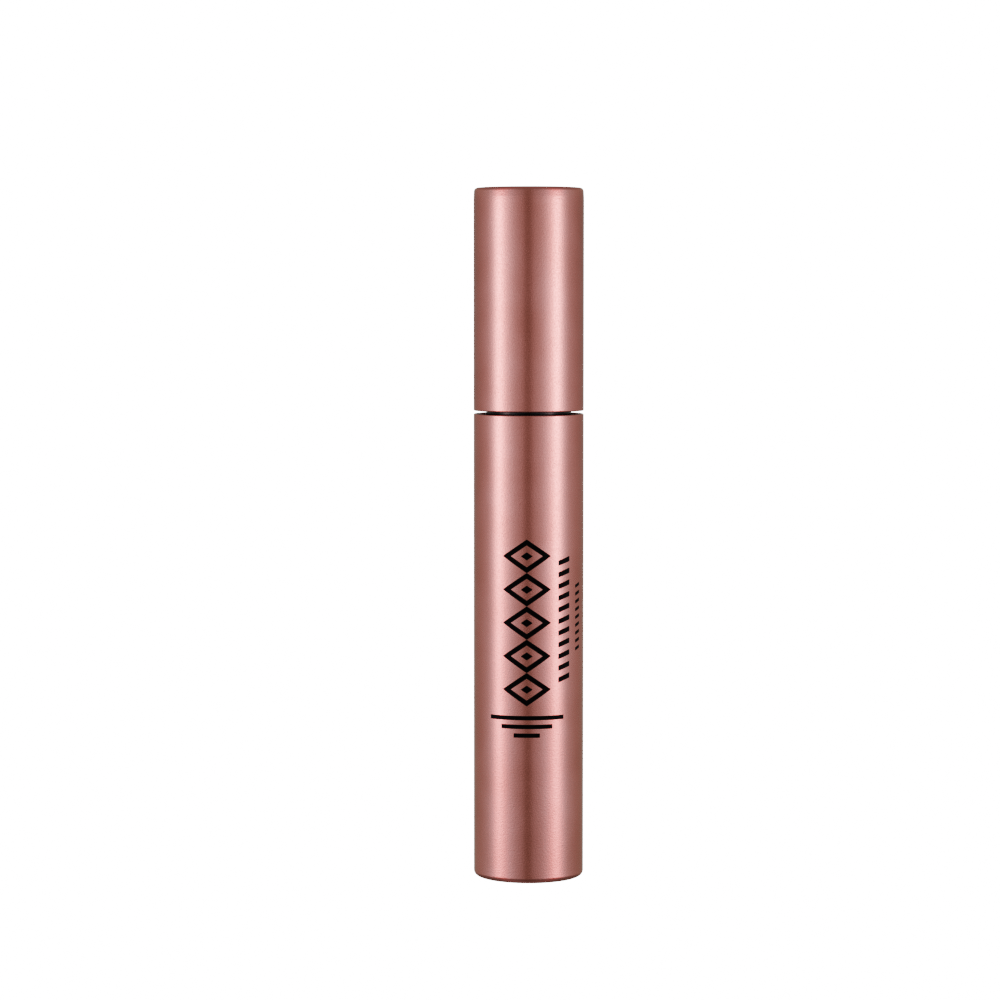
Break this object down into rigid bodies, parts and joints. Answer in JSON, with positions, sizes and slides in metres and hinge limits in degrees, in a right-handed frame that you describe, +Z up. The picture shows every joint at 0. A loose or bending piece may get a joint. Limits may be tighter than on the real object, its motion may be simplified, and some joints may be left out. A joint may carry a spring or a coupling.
{
  "type": "mascara tube",
  "caption": "Slim round mascara tube: metallised bottle shell round a threaded vial, and a screw cap that carries the rod and moulded brush, closed at rest.",
  "frame": {"origin": "centre of the base, on the plane the tube stands on", "axes": "+Z up along the tube's axis from the base to the top of the cap; X and Y across it"},
  "size_m": [0.019, 0.019, 0.119],
  "materials": {
    "rose_shell": "vacuum-metallised ABS under a satin rose-gold tinted lacquer",
    "black_plastic": "moulded black polypropylene, semi-gloss",
    "black_elastomer": "moulded black elastomer, matte",
    "paste": "wet black paste",
    "foam_seal": "pale expanded polyethylene",
    "label_film": "plain satin film, no print"
  },
  "bodies": {
    "bottle": {"bottle_shell": "rose_shell", "inner_vial": "black_plastic", "neck_collar": "black_plastic", "wiper": "black_elastomer", "mascara_paste": "paste", "base_label": "label_film"},
    "seal": {"seal_washer": "foam_seal"},
    "applicator": {"cap_shell": "rose_shell", "inner_cap": "black_plastic", "wand_rod": "black_plastic", "brush_core": "black_plastic", "bristle_sleeve": "black_elastomer"}
  },
  "joints": [
    {"name": "applicator_draw", "type": "slide", "parent": "bottle", "child": "seal", "axis": [0, 0, 1], "range_m": [0, 0.095], "deforming": ["wiper"]},
    {"name": "cap_turn", "type": "hinge", "parent": "seal", "child": "applicator", "pos_m": [0, 0, 0.09705], "axis": [0, 0, 1], "range_deg": [0, 540]}
  ]
}
